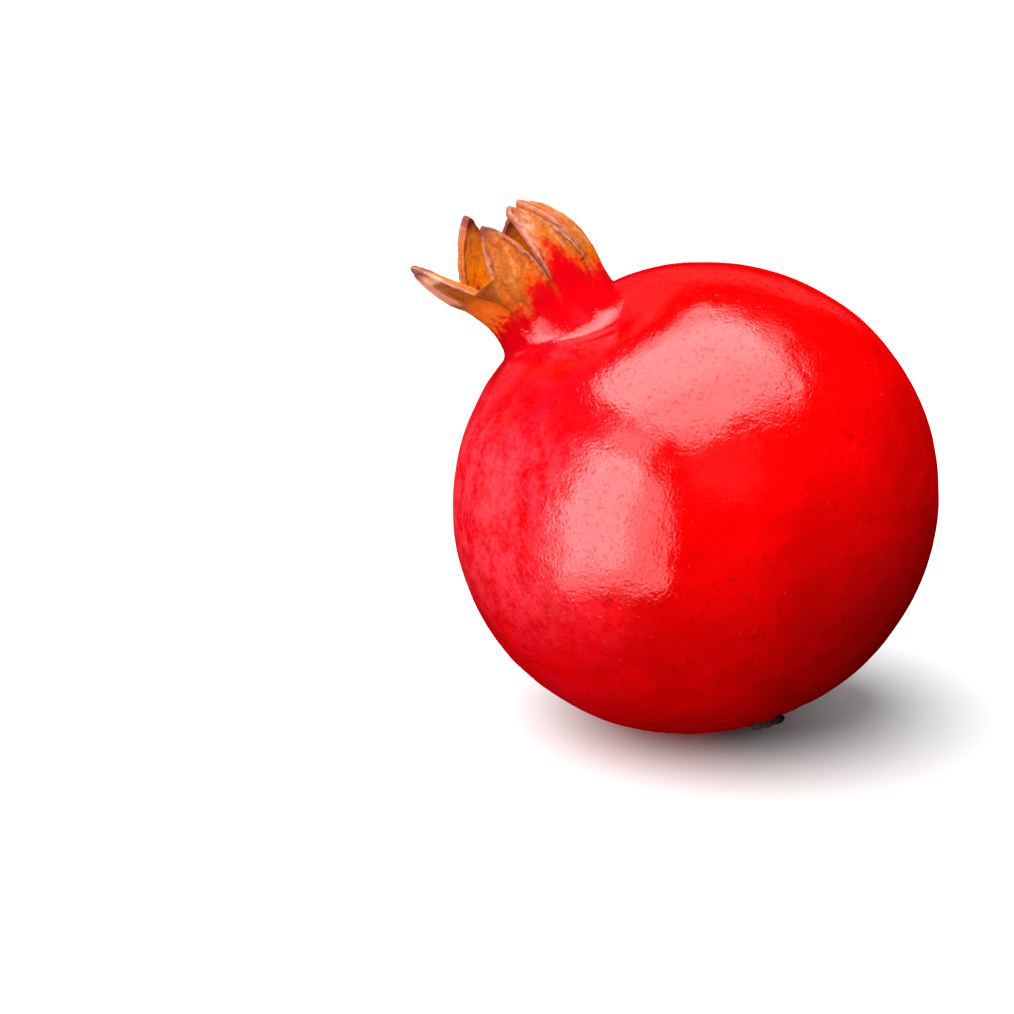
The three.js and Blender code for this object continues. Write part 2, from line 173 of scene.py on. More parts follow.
def neck_point(level, azimuth):
    crease = np.zeros_like(azimuth)
    for sepal in SEPALS:
        from_notch = (azimuth - sepal["notches"][0] * DEGREE + math.pi) % (2 * math.pi) - math.pi
        crease += NOTCH_CREASE * np.exp(-((from_notch / NOTCH_CREASE_SPREAD) ** 2))
    radius = neck_radius(level, azimuth) - crease * smooth(level, 0, NOTCH_LEVEL)
    return CROWN_FOOT + np.asarray(level)[..., None] * CROWN_AXIS + radius[:, None] * round_crown(azimuth)


def arc(travelled, heading, final_heading, full_length):
    """The end of an arc whose heading turns evenly from one angle to the other over its full length."""
    rate = (final_heading - heading) / full_length
    if abs(rate) < 1e-9:
        return math.sin(heading) * travelled, math.cos(heading) * travelled, heading + 0 * travelled
    now = heading + rate * travelled
    return (math.cos(heading) - np.cos(now)) / rate, (np.sin(now) - math.sin(heading)) / rate, now


def midline(sepal, travelled):
    knee = sepal["knee"] * sepal["length"]
    start, out, tip = (sepal[key] * DEGREE for key in ("start", "out", "tip"))
    out_below, up_below, turn_below = arc(np.minimum(travelled, knee), start, out, knee)
    out_above, up_above, turn_above = arc(np.maximum(travelled - knee, 0), out, tip, sepal["length"] - knee)
    return out_below + out_above, up_below + up_above, np.where(travelled < knee, turn_below, turn_above) - start


def outline(across):
    return (1 - np.abs(across) ** 1.4) ** 0.65


def joined_height(sepal, across):
    low, high = sepal.get("joined", (SEPAL_FOOT_HEIGHT, SEPAL_FOOT_HEIGHT))
    return low + (high - low) * smooth(across, -0.5, 0.5)


def full_height(sepal, across, ragged=1.0):
    free = outline(across) * sepal["length"] * ragged
    return (free**6 + joined_height(sepal, across) ** 6) ** (1 / 6)


def wavy(values, size, seed):
    """Smooth random waves of about one size along a run of values."""
    return np.array([noise.noise(Vector((value / size, seed, 0.5))) for value in values])


def sepal_sheet(number, across, share, depth):
    """Points on one sepal at a depth from its back (0) to its inner face (1), and what each knows of its place."""
    sepal = SEPALS[number]
    low, high = (notch * DEGREE for notch in sepal["notches"])
    middle, half = (low + high) / 2, (high - low) / 2
    azimuth = middle + across * half
    ragged = 1 + 0.035 * wavy(across, 0.16, number + 3.1) * (1 - np.abs(across))
    joined = joined_height(sepal, across)
    height = full_height(sepal, across, ragged) * share
    rise = height / sepal["length"]
    out, up, turn = midline(sepal, height)
    outward, sideways = round_crown(middle), round_crown(middle + math.pi / 2)
    face = np.cos(turn)[:, None] * outward - np.sin(turn)[:, None] * CROWN_AXIS

    foot_radius = neck_radius(NOTCH_LEVEL, azimuth)
    middle_radius = neck_radius(NOTCH_LEVEL, middle)
    roundness = foot_radius * np.cos(azimuth - middle) - middle_radius
    shaped = smooth(rise, 0, 0.3)
    keel = KEEL_HEIGHT * np.exp(-((np.abs(across) / KEEL_SPREAD) ** 1.3)) * shaped
    flattening = -roundness * sepal.get("flattened", 0) * shaped
    joinedness = smooth(joined, SEPAL_FOOT_HEIGHT, SEPAL_FOOT_HEIGHT + 4)
    edge_thinning = sepal.get("edge_thinning", SEPAL_EDGE_THINNING)
    edge_thinning = edge_thinning + (JOINED_EDGE_THINNING - edge_thinning) * joinedness
    thickness = (SEPAL_THICKNESS - SEPAL_TIP_THINNING * smooth(rise)) * (1 - edge_thinning * across**2 * shaped)
    side = foot_radius * np.sin(azimuth - middle)

    edge_across = np.linspace(-1, 1, 241)
    edge = np.stack([middle_radius * np.sin(edge_across * half), full_height(sepal, edge_across)], -1)
    here = np.stack([side, height], -1)
    to_margin = np.linalg.norm(here[:, None] - edge, axis=-1).min(1) * (share < 1)
    roll = MARGIN_ROLL * np.exp(-((to_margin / MARGIN_ROLL_WIDTH) ** 2)) * shaped
    bulge = 0.12 * math.sin(math.pi * depth)
    back = roundness + flattening + keel
    sunk = depth * (thickness + flattening * FLATTENED_THICKENS) + (roll if depth == 1 else -roll if depth == 0 else 0)
    points = CROWN_FOOT + NOTCH_LEVEL * CROWN_AXIS + middle_radius * outward
    points = points + out[:, None] * outward + up[:, None] * CROWN_AXIS
    points = points + (side + sepal["lean"] * rise**2)[:, None] * sideways + (back - sunk)[:, None] * face
    points = points + (bulge * (share == 1)) * (np.sin(turn)[:, None] * outward + np.cos(turn)[:, None] * CROWN_AXIS)
    grown_together = (joined / full_height(sepal, across, ragged)) ** 6
    return points, azimuth, height, to_margin + 0.8 * grown_together


# ---- The whole skin: rings of points from the stem's socket to the floor of the crown's cup -----------------
# Body, neck, sepals and cup are one skin, so they are one closed mesh. Every point also keeps how far it is up the
# crown, from the edge of its sepal and above the line where the red ends, because the colours follow these.
COLUMNS_PER_SEPAL = 48
BODY_RINGS = 132
FILLET_RINGS = 24
NECK_RINGS = 14
SEPAL_RINGS = 30
CUP_RINGS = 18
FILLET_AT_SIDES = {"from": 21 * DEGREE, "to": 15.5 * DEGREE, "corner": -1.7, "rise": 2.8}
FILLET_IN_FRONT = {"from": 37.5 * DEGREE, "to": 25.5 * DEGREE, "corner": -11, "rise": 9.3}
CORNER_TILT = 0.6
SHOULDER_ROUNDING = 5.0
SHOULDER_ROUNDING_STEPS = 90
SOCKET_RADIUS = 3.7
SOCKET_DEPTH = 1.0

# Round the crown in degrees: how high up it in millimetres the red of the rind reaches, and how far the tissue above
# has dried from salmon (0) to ochre brown (1). Past 1, on the sepal at the back, the value darkens that sepal's lining
# with painted shade.
RED_REACHES = {-90: 3, -70: 3.5, -54: 5, -42: 5.6, -34: 5.6, -28: 4.6, -22: 3.2, -17: 4.4, -12: 7.4, -5: 9, 1: 8.8,
               8: 8.8, 14: 10, 22: 11.6, 28: 12.2, 30: 11.3, 33: 10, 36: 8.4, 39: 7, 46: 5.6, 52: 4.4, 75: 4.5, 95: 5,
               120: 8, 145: 6, 170: 9, 195: 6.5, 220: 7.5, 245: 6, 270: 3}
DRIED = {-90: 0.9, -35: 0.9, -33: 1.0, 8: 1.0, 9: 0.1, 24: 0.15, 32: 0.9, 60: 0.95, 80: 0.8, 106: 0.6, 108: 0.8,
         158: 0.8, 159: 1.4, 207: 1.4, 209: 0.85, 267: 0.85, 268: 0.9, 270: 0.9}

even = 2 * np.arange(COLUMNS_PER_SEPAL) / COLUMNS_PER_SEPAL - 1
crowded = (even - np.cos(math.pi * np.arange(COLUMNS_PER_SEPAL) / COLUMNS_PER_SEPAL)) / 2
column_azimuth = np.concatenate([(s["notches"][0] + (crowded + 1) / 2 * (s["notches"][1] - s["notches"][0])) * DEGREE
                                 for s in SEPALS])
columns = len(column_azimuth)
even_azimuth = SEPALS[0]["notches"][0] * DEGREE + np.arange(columns) * 2 * math.pi / columns
column_across = np.tile(crowded, len(SEPALS))
column_sepal = np.repeat(np.arange(len(SEPALS)), COLUMNS_PER_SEPAL)

rings, places = [], []


def lay_ring(points, azimuth, up, to_margin=9.0, inside=0.0):
    rings.append(points)
    places.append([np.broadcast_to(value, columns) for value in (azimuth, up, to_margin, inside)])


def lay_sepal_ring(share, depth):
    made = [sepal_sheet(number, crowded, share, depth) for number in range(len(SEPALS))]
    points, azimuth, height, to_margin = (np.concatenate(part) for part in zip(*made))
    lay_ring(points, azimuth, NOTCH_LEVEL + height, to_margin, depth)


socket_angle = math.pi - SOCKET_RADIUS / POLE_RADIUS
for beyond, sunk in ((2.2, SOCKET_DEPTH), (0.5, SOCKET_DEPTH), (0, SOCKET_DEPTH / 2)):
    lay_ring(body_point(socket_angle + beyond * DEGREE, even_azimuth, sunk), even_azimuth, -100)
front_share = in_front(column_azimuth)
fillet = {key: FILLET_AT_SIDES[key] + (FILLET_IN_FRONT[key] - FILLET_AT_SIDES[key]) * front_share
          for key in FILLET_AT_SIDES}
corner_level = fillet["corner"] + CORNER_TILT * np.sin(column_azimuth)
neck_start = corner_level + fillet["rise"]
for step in range(BODY_RINGS + 1):
    share = step / BODY_RINGS
    angle = (1 - share) * (socket_angle - 0.4 * DEGREE) + share * fillet["from"]
    crowding = smooth(share, 0.3, 1)
    azimuth = (1 - crowding) * even_azimuth + crowding * column_azimuth
    points = body_point(angle, azimuth)
    lay_ring(points, azimuth, (points - CROWN_FOOT) @ CROWN_AXIS)
for step in range(1, FILLET_RINGS + 1):
    share = step / FILLET_RINGS
    angle = (1 - share) * fillet["from"] + share * fillet["to"]
    on_neck = neck_point(corner_level + share * fillet["rise"], column_azimuth)
    points = (1 - smooth(share)) * body_point(angle, column_azimuth) + smooth(share) * on_neck
    lay_ring(points, column_azimuth, (points - CROWN_FOOT) @ CROWN_AXIS)
for step in range(1, NECK_RINGS + 1):
    level = neck_start + (NOTCH_LEVEL - neck_start) * step / NECK_RINGS
    lay_ring(neck_point(level, column_azimuth), column_azimuth, level)
for step in range(1, SEPAL_RINGS + 1):
    lay_sepal_ring((step / SEPAL_RINGS) ** 0.85, 0)
for depth in (0.12, 0.32, 0.5, 0.68, 0.88):
    lay_sepal_ring(1, depth)
for step in range(SEPAL_RINGS, -1, -1):
    lay_sepal_ring((step / SEPAL_RINGS) ** 0.85, 1)
cup_rim = rings[-1] - CROWN_FOOT
rim_level = cup_rim @ CROWN_AXIS
rim_outward = cup_rim - rim_level[:, None] * CROWN_AXIS
for step in range(1, CUP_RINGS):
    turn = step / CUP_RINGS * math.pi / 2
    level = rim_level + (CUP_FLOOR_LEVEL - rim_level) * math.sin(turn)
    points = CROWN_FOOT + level[:, None] * CROWN_AXIS + math.cos(turn) ** 0.6 * rim_outward
    lay_ring(points, column_azimuth, level, 9.0, 1.0)

skin = np.array(rings)

# The shoulder is rounded where it starts to fall towards the front of the neck.
shoulder_ring = 3 + BODY_RINGS
ring_gaps = np.linalg.norm(np.diff(skin, axis=0), axis=-1)
along_skin = np.vstack([np.zeros(columns), np.cumsum(ring_gaps, axis=0)])
from_shoulder = along_skin - along_skin[shoulder_ring]
rounded = 0.5 * np.exp(-((from_shoulder / SHOULDER_ROUNDING) ** 2)) * np.minimum(front_share * 2.5, 1)
for step in range(SHOULDER_ROUNDING_STEPS):
    skin[1:-1] += rounded[1:-1, :, None] * ((skin[2:] + skin[:-2]) / 2 - skin[1:-1])
azimuth, up, to_margin, inside = (np.array([place[k] for place in places]) for k in range(4))


def outward_normals(sheet):
    around = np.roll(sheet, -1, 1) - np.roll(sheet, 1, 1)
    along = np.gradient(sheet, axis=0)
    normals = np.cross(around, along)
    return normals / np.maximum(np.linalg.norm(normals, axis=-1, keepdims=True), 1e-9)


def lumps(points, size, octaves):
    flat = points.reshape(-1, 3) / size
    made = [noise.fractal(Vector(point), 1.0, 2.1, octaves, noise_basis="PERLIN_ORIGINAL") for point in flat]
    return np.array(made).reshape(points.shape[:2])


# Relief that the light picks out: soft lumps and flats over the body, and lengthwise wrinkles on the dry sepals.
on_sepal = smooth(up, NOTCH_LEVEL - 3, NOTCH_LEVEL + 2)
along_sepal = np.stack([azimuth * NECK_RADIUS * 2.4, up * 0.42, inside * 7], -1)
relief = 0.16 * lumps(skin, 13, 2) * (1 - on_sepal) + 0.05 * lumps(skin, 4.2, 2)
relief = relief + on_sepal * (0.15 * lumps(along_sepal, 1.9, 3) + 0.12 * lumps(skin, 2.6, 2))
middle_of_facet = (inside > 0) & (inside < 1)
relief = np.where(up == -100, 0, np.where(middle_of_facet, 0.4 * relief, relief))
skin = skin + relief[..., None] * outward_normals(skin)
skin[..., 2] = np.maximum(skin[..., 2], 0)


def closed_mesh(name, sheet, first_point, last_point):
    """A mesh in metres from rings of points in millimetres, closed by one point at each end."""
    ring_count, ring_size = sheet.shape[:2]
    points = np.vstack([first_point[None], sheet.reshape(-1, 3), last_point[None]]) / 1000
    last = len(points) - 1
    faces = []
    for ring in range(ring_count - 1):
        for i in range(ring_size):
            here, beside = 1 + ring * ring_size + i, 1 + ring * ring_size + (i + 1) % ring_size
            faces.append((here, beside, beside + ring_size, here + ring_size))
    for i in range(ring_size):
        beside = (i + 1) % ring_size
        top = 1 + (ring_count - 1) * ring_size
        faces += [(0, 1 + beside, 1 + i), (last, top + i, top + beside)]
    mesh = bpy.data.meshes.new(name)
    mesh.from_pydata(points.tolist(), [], faces)
    mesh.shade_smooth()
    piece = bpy.data.objects.new(name, mesh)
    bpy.context.scene.collection.objects.link(piece)
    return piece


socket_floor = body_point(math.pi, np.array([0.0]), SOCKET_DEPTH)[0]
cup_floor = CROWN_FOOT + CUP_FLOOR_LEVEL * CROWN_AXIS
rind = closed_mesh("rind", skin, socket_floor, cup_floor)

# What the colours follow, kept on every point.
degrees = (azimuth / DEGREE + 90) % 360 - 90
above_red = up - np.interp(degrees, list(RED_REACHES), list(RED_REACHES.values()))
from_stem = np.linalg.norm(skin - socket_floor, axis=-1)
dried = np.interp(degrees, list(DRIED), list(DRIED.values()))
spread_sepal = next(k for k, sepal in enumerate(SEPALS) if sepal.get("flattened"))
above_notch = up - NOTCH_LEVEL
# The spread sepal's pale salmon end and the left half of its back. This is its own dry colour, painted paler still on
# the left half as a painted highlight where the lamps leave it in shade.
highlit_pale_side = smooth(-column_across, -0.16, -0.02) * smooth(above_notch, 2, 5)
bare_end = np.maximum(smooth(above_notch, 10, 11.4), highlit_pale_side) * (column_sepal == spread_sepal) * (inside < 0.5)
bare_outline = bare_end * (1 - bare_end) * 4
to_notch = np.minimum(1 - column_across, 1 + column_across) * NECK_RADIUS * math.pi / len(SEPALS)
from_tip = np.array([sepal["length"] for sepal in SEPALS])[column_sepal] - above_notch
browned = np.array([sepal.get("browned", 1) for sepal in SEPALS])[column_sepal] * smooth(-from_tip, -5, -0.5)
orange_foot = (column_sepal == spread_sepal) * smooth(-above_notch, -6, -1) + 0 * up
from_axis = skin - CROWN_FOOT - ((skin - CROWN_FOOT) @ CROWN_AXIS)[..., None] * CROWN_AXIS
from_neck = np.linalg.norm(from_axis, axis=-1) - NECK_RADIUS
# A band down each notch on the outside of the neck, for a brown line that is partly the seam's own colour and partly
# painted shade in its groove.
crease = np.exp(-((to_notch / 0.45) ** 2)) * smooth(up, NOTCH_LEVEL - 5, NOTCH_LEVEL) * (inside < 0.1)
grain = np.stack([azimuth * np.where(up > -2, NECK_RADIUS, EQUATOR_RADIUS), up, column_sepal[None] * 8.0 + 0 * up], -1)
for name, values in (("up", up), ("above_red", above_red), ("to_margin", to_margin), ("inside", inside),
                     ("dried", dried), ("bare_end", bare_end), ("bare_outline", bare_outline), ("crease", crease),
                     ("browned", browned), ("orange_foot", orange_foot), ("from_neck", from_neck),
                     ("from_stem", from_stem)):
    attribute = rind.data.attributes.new(name, "FLOAT", "POINT")
    flat = values.reshape(-1)
    attribute.data.foreach_set("value", np.concatenate([flat[:1], flat, flat[-1:]]).astype(np.float32))
attribute = rind.data.attributes.new("grain", "FLOAT_VECTOR", "POINT")
flat = grain.reshape(-1, 3)
attribute.data.foreach_set("vector", np.vstack([flat[:1], flat, flat[-1:]]).astype(np.float32).ravel())

# The map that the finish is baked to: one rectangle, with more of its height given to the crown.
stretch = np.where(up[:-1].mean(1) > -2, 2.2, 1.0)
steps_up = np.linalg.norm(np.diff(skin, axis=0), axis=-1).mean(1) * stretch
ring_v = np.concatenate([[0.004], 0.004 + 0.992 * np.cumsum(steps_up) / steps_up.sum()])
uv_map = rind.data.uv_layers.new(name="OFBake")
uv = np.zeros((len(rind.data.loops), 2), np.float32)
for face in rind.data.polygons:
    for loop, vertex in zip(face.loop_indices, face.vertices):
        if vertex in (0, len(rind.data.vertices) - 1):
            uv[loop] = (None, 0.0 if vertex == 0 else 1.0)
        else:
            ring, column = divmod(vertex - 1, columns)
            uv[loop] = (column / columns, ring_v[ring])
    corner_u = uv[list(face.loop_indices), 0]
    known = corner_u[~np.isnan(corner_u)]
    if known.max() - known.min() > 0.5:
        corner_u = np.where(corner_u < 0.5, corner_u + 1, corner_u)
        known = corner_u[~np.isnan(corner_u)]
    uv[list(face.loop_indices), 0] = np.where(np.isnan(corner_u), known.mean(), corner_u)
uv_map.data.foreach_set("uv", uv.ravel())


def linear(hex_colour):
    parts = [int(hex_colour[k:k + 2], 16) / 255 for k in (1, 3, 5)]
    return tuple(p / 12.92 if p <= 0.04045 else ((p + 0.055) / 1.055) ** 2.4 for p in parts) + (1.0,)


def add(tree, kind, inputs=None, out=0, stops=(), **settings):
    """Adds a node with its settings and colour stops, sets or links its inputs, and gives back one of its outputs."""
    made = tree.nodes.new(kind)
    for name, value in settings.items():
        setattr(made, name, value)
    for k, (position, colour) in enumerate(stops):
        stop = made.color_ramp.elements[k] if k < 2 else made.color_ramp.elements.new(position)
        stop.position, stop.color = position, linear(colour)
    for key, values in (inputs or {}).items():
        for value in values if isinstance(values, list) else [values]:
            if isinstance(value, bpy.types.NodeSocket):
                tree.links.new(value, made.inputs[key])
            else:
                made.inputs[key].default_value = value
    return made.outputs[out] if made.outputs else made


# Waxed leathery rind: a smooth cuticle over a pitted, leathery skin. It gives large clear highlights whose edges
# break up over fine pits, and the colour runs from saturated red to orange and dry ochre up the crown.
material = bpy.data.materials.new("pomegranate_rind_waxy_leathery")
material.use_nodes = True
tree = material.node_tree
shader = tree.nodes["Principled BSDF"]
shader.inputs["IOR"].default_value = 1.5
fruit_place = add(tree, "ShaderNodeTexCoord", out="Object")
grain_place = add(tree, "ShaderNodeAttribute", out="Vector", attribute_name="grain")
grain_place = add(tree, "ShaderNodeMapping", {"Vector": grain_place, "Scale": (1.0, 0.22, 1.0)})
part = {name: add(tree, "ShaderNodeAttribute", out="Fac", attribute_name=name)
        for name in ("up", "above_red", "to_margin", "inside", "dried", "bare_end", "bare_outline", "crease",
                     "browned", "orange_foot", "from_neck", "from_stem")}
part["rightward"] = add(tree, "ShaderNodeSeparateXYZ", {0: fruit_place}, "X")
part["height"] = add(tree, "ShaderNodeSeparateXYZ", {0: fruit_place}, "Z")
part["turned_away"] = add(tree, "ShaderNodeLayerWeight", {"Blend": 0.5}, "Facing")

# Each pattern is cloudy, either round or drawn out along the fibres. After its size in millimetres and its detail
# come the range of the noise that is shown and what that range becomes.
for name, fibrous, size, detail, shown, becomes in (
        ("blotches", False, 15, 4, (0.36, 0.64), (0, 1)),
        ("patches", False, 7, 4, (0.35, 0.65), (0, 1)),
        # The pink clouds, fine clouds and lines that follow are for the painted sheen on the left side.
        ("mottle", False, 4.6, 6, (0.4, 0.62), (0, 1)),
        ("fine_mottle", False, 1.1, 3, (0.44, 0.62), (0, 1)),
        ("pale_lines", True, 1.1, 3, (0.53, 0.68), (0, 1)),
        ("specks", False, 0.8, 2, (0.58, 0.65), (0, 1)),
        ("clusters", False, 13, 2, (0.52, 0.62), (0, 1)),
        ("dark_clouds", False, 2.4, 5, (0.54, 0.7), (0, 1)),
        ("ragged_fine", True, 1.3, 3, (0.3, 0.7), (-0.9, 0.9)),
        ("ragged_coarse", False, 1.5, 4, (0.3, 0.7), (-1.5, 1.5)),
        ("drying", False, 3.2, 3, (0.35, 0.65), (-0.4, 0.4)),
        ("brown_fibres", True, 1.2, 4, (0.5, 0.64), (0, 1)),
        ("pale_fibres", True, 0.9, 4, (0.54, 0.66), (0, 1)),
        ("golden", False, 3.4, 4, (0.46, 0.62), (0, 1)),
        ("stains", False, 2.1, 5, (0.52, 0.66), (0, 1)),
        ("dots", False, 0.6, 3, (0.6, 0.7), (0, 1)),
        ("cup_shift", False, 2.4, 4, (0.3, 0.7), (-4, 4)),
        ("rim_shift", False, 1.1, 3, (0.3, 0.7), (-0.24, 0.24)),
        ("rim_gaps", False, 2.2, 3, (0.42, 0.6), (0.1, 0.9)),
        ("rim_tones", False, 2.0, 4, (0.42, 0.58), (0, 1)),
        ("tip_shift", False, 1.4, 3, (0.3, 0.7), (-0.2, 0.2)),
        ("waxing", False, 2.6, 4, (0.3, 0.7), (0.0, 0.06)),
        ("swell", False, 2.4, 2, (0.25, 0.75), (0, 1)),
        ("leather", False, 0.55, 1, (0.25, 0.75), (0, 1)),
        ("fibres", True, 0.5, 4, (0.25, 0.75), (0, 1)),
        ("crumple", False, 0.9, 4, (0.25, 0.75), (0, 1))):
    scale = 1 / size if fibrous else 1000 / size
    cloud = add(tree, "ShaderNodeTexNoise", {"Vector": grain_place if fibrous else fruit_place, "Scale": scale,
                                            "Detail": float(detail), "Roughness": 0.6})
    part[name] = add(tree, "ShaderNodeMapRange", {"Value": cloud, "From Min": shown[0], "From Max": shown[1],
                                                  "To Min": becomes[0], "To Max": becomes[1]},
                     interpolation_type="SMOOTHSTEP")

# Corky pores and small sunk pits: each stands in its own cell, and some cells have none.
for name, cell, reach, fewest in (("pores", 2.6, (0.17, 0.06), 0.55), ("pits", 1.2, (0.4, 0.02), 0.1)):
    cells = {out: add(tree, "ShaderNodeTexVoronoi", {"Vector": fruit_place, "Scale": 1000 / cell}, out)
             for out in ("Distance", "Color")}
    ragged = add(tree, "ShaderNodeMath", {0: part["leather"], 1: 0.1, 2: cells["Distance"]}, operation="MULTIPLY_ADD")
    spot = add(tree, "ShaderNodeMapRange", {"Value": ragged, "From Min": reach[0] + 0.05, "From Max": reach[1] + 0.05},
               interpolation_type="SMOOTHSTEP")
    chosen = add(tree, "ShaderNodeSeparateColor", {0: cells["Color"]})
    chosen = add(tree, "ShaderNodeMapRange", {"Value": chosen, "From Min": fewest, "From Max": 1.0})
    part[name] = add(tree, "ShaderNodeMath", {0: spot, 1: chosen}, operation="MULTIPLY")

# Places on the fruit, some with a ragged edge: from one value to another of what they follow.
for name, follows, shift, start, full in (
        ("left", "rightward", None, -0.004, -0.034),
        ("under_shoulder", "height", None, 0.072, 0.056),
        ("over_foot", "height", None, 0.02, 0.042),
        ("hollow", "from_neck", None, 15, 7),
        ("behind_bar", "rightward", None, -0.014, -0.009),
        ("near_stem", "from_stem", "ragged_coarse", 13, 4),
        ("on_crown", "up", None, -3, 1),
        ("redness", "above_red", ("ragged_fine", "ragged_coarse"), -2, 9),
        ("dry", "above_red", ("ragged_fine", "ragged_coarse"), -0.5, 3),
        ("ochre", "dried", "drying", 0, 1),
        # Values of dried past 1 mark the back sepal's lining for painted shade.
        ("very_dried", "dried", None, 1, 1.4),
        ("facet", "inside", None, 0.04, 0.2),
        ("outer_side", "inside", None, 0.35, 0.1),
        ("lining", "inside", None, 0.75, 0.95),
        ("dull", "above_red", None, -1, 2),
        ("glancing", "turned_away", None, 0.4, 0.84),
        ("up_cup", "up", "cup_shift", 0, 24),
        ("free_edge", "above_red", None, -1, 2.5),
        # line_outer and line_inner bound a line of painted shade inside each free margin.
        ("line_outer", "to_margin", "rim_shift", 1.25, 0.75),
        ("line_inner", "to_margin", "rim_shift", 0.3, 0.55),
        ("rim", "to_margin", "rim_shift", 0.62, 0.28),
        ("near_tip", "browned", "tip_shift", 0.15, 0.6),
        ("tip", "browned", "tip_shift", 0.55, 1.0)):
    value = part[follows]
    for name_of_shift in (shift,) if isinstance(shift, str) else shift or ():
        value = add(tree, "ShaderNodeMath", {0: value, 1: part[name_of_shift]}, operation="ADD")
    part[name] = add(tree, "ShaderNodeMapRange", {"Value": value, "From Min": start, "From Max": full},
                     interpolation_type="SMOOTHSTEP")

# The crown's back goes from red through orange to salmon, or where it has dried further to ochre brown. Its lining
# is brown down in the cup and bright orange on the sepals.
salmon = add(tree, "ShaderNodeValToRGB", {"Fac": part["redness"]},
             stops=[(0.0, "#c0000c"), (0.2, "#c80d06"), (0.36, "#cc3a10"), (0.5, "#cb602e"), (1.0, "#d28b6e")])
ochre = add(tree, "ShaderNodeValToRGB", {"Fac": part["redness"]},
            stops=[(0.0, "#c0000c"), (0.2, "#cc2006"), (0.36, "#d8500e"), (0.6, "#b8590f"), (1.0, "#b65c20")])
paint = {
    "skin": linear("#c90000"),
    "calyx": add(tree, "ShaderNodeMix", {0: part["ochre"], 6: salmon, 7: ochre}, 2, data_type="RGBA"),
    "lining": add(tree, "ShaderNodeValToRGB", {"Fac": part["up_cup"]},
                  stops=[(0.0, "#7e3c12"), (0.3, "#b03c08"), (0.5, "#fa7004"), (0.75, "#ff8e0c"), (1.0, "#f08a30")]),
    "facet": add(tree, "ShaderNodeMix", {0: part["ochre"], 6: linear("#cc7456"), 7: linear("#b45c18")}, 2,
                 data_type="RGBA")}

# Layers of colour from the bottom up: what is painted, with which colour, how strongly, and where.
for ground, colour, strength, *where in (
        ("skin", "#dd0001", 1.0, "blotches"),
        # On the left side, the crimson patches and the pink clouds, fine clouds and lines are painted sheen: the light
        # from the left shown in the colour. The pink ones stay below the shoulder and above the foot.
        ("skin", "#d80a22", 0.7, "left", "patches"),
        ("skin", "#f84e5e", 0.3, "left", "under_shoulder", "over_foot", "mottle"),
        ("skin", "#f85c6a", 0.14, "left", "under_shoulder", "over_foot", "fine_mottle"),
        ("skin", "#fa4450", 0.1, "left", "under_shoulder", "over_foot", "pale_lines"),
        ("skin", "#9c0010", 0.35, "left", "dark_clouds"),
        ("skin", "#98000e", 0.42, "left", "specks"),
        ("skin", "#a0000a", 0.36, "specks", "patches"),
        ("skin", "#e84448", 0.18, "pores"),
        ("skin", "#840404", 0.4, "clusters", "dark_clouds"),
        ("skin", "#6e2a16", 0.8, "near_stem"),
        ("calyx", "#c47a16", 0.35, "golden", "ochre", "dry"),
        ("calyx", "#92380c", 0.5, "brown_fibres", "dry"),
        ("calyx", "#e09c60", 0.35, "pale_fibres", "dry"),
        ("calyx", "#8c3a0c", 0.42, "stains", "dry"),
        ("calyx", "#542408", 0.3, "dots", "dry"),
        ("lining", "#c04a06", 0.3, "brown_fibres"),
        # Painted shade: the lining of the sepal at the back, darkened as if it lay in shadow.
        ("lining", "#7a2a08", 0.6, "very_dried"),
        ("calyx", "#f87a1c", 0.6, "orange_foot", "dry"),
        ("skin", "calyx", 1.0, "on_crown"),
        ("skin", "facet", 1.0, "facet"),
        ("skin", "#8a4018", 0.6, "facet", "stains"),
        ("skin", "lining", 1.0, "lining"),
        # Painted shade: a dark brown line inside each free margin, in the groove beside the rolled edge, broken in
        # places.
        ("skin", "#702c0c", 0.75, "line_outer", "line_inner", "free_edge", "rim_gaps"),
        ("skin", "#b88275", 0.7, "rim", "free_edge", "outer_side"),
        ("skin", "#a85038", 0.6, "rim", "free_edge", "outer_side", "rim_tones"),
        ("skin", "#7c4034", 0.6, "rim", "free_edge", "lining"),
        # Brown down each crease between the sepals: partly the seam's own colour, partly painted shade in the groove.
        ("skin", "#8a4412", 0.65, "crease"),
        # Pale salmon end and left half of the spread sepal: its dry colour, with a painted highlight on the left half.
        ("skin", "#ffb090", 0.85, "bare_end"),
        ("skin", "#6a3010", 0.6, "bare_outline"),
        ("skin", "#8c4430", 0.5, "near_tip"),
        ("skin", "#743430", 0.75, "tip")):
    for name in where:
        strength = add(tree, "ShaderNodeMath", {0: strength, 1: part[name]}, operation="MULTIPLY")
    paint[ground] = add(tree, "ShaderNodeMix", {0: strength, 6: paint[ground],
                                                7: paint[colour] if colour in paint else linear(colour)}, 2,
                        data_type="RGBA")
tree.links.new(paint["skin"], shader.inputs["Base Color"])

